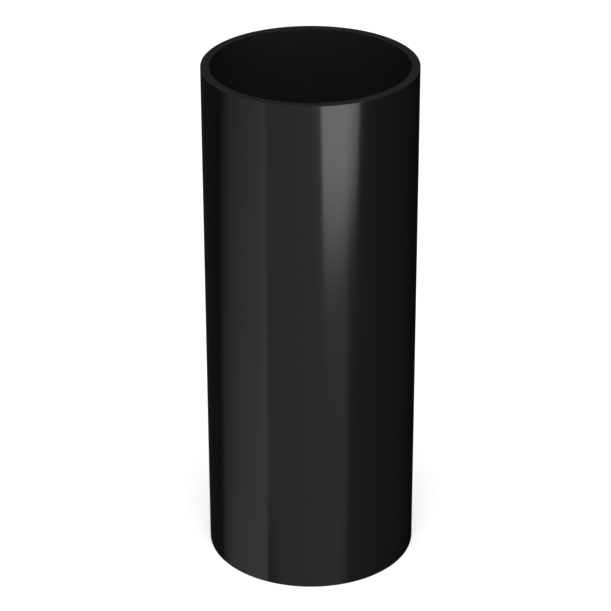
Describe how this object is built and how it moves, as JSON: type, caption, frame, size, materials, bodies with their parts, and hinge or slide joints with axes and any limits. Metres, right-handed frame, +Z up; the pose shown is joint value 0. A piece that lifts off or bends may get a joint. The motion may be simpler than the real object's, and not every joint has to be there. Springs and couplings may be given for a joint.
{
  "type": "downpipe",
  "caption": "Short straight length of round black plastic rainwater pipe, smooth and glossy outside, open and sawn square at both ends.",
  "frame": {"origin": "centre of the lower end face, on the pipe's axis, where the pipe stands on the floor", "axes": "+Z runs up the pipe along its axis; X and Y are across it and alike, since the pipe is round"},
  "size_m": [0.075, 0.075, 0.1864],
  "materials": {
    "black_pvc": "gloss"
  },
  "bodies": {
    "root": {"downpipe": "black_pvc"}
  },
  "joints": []
}
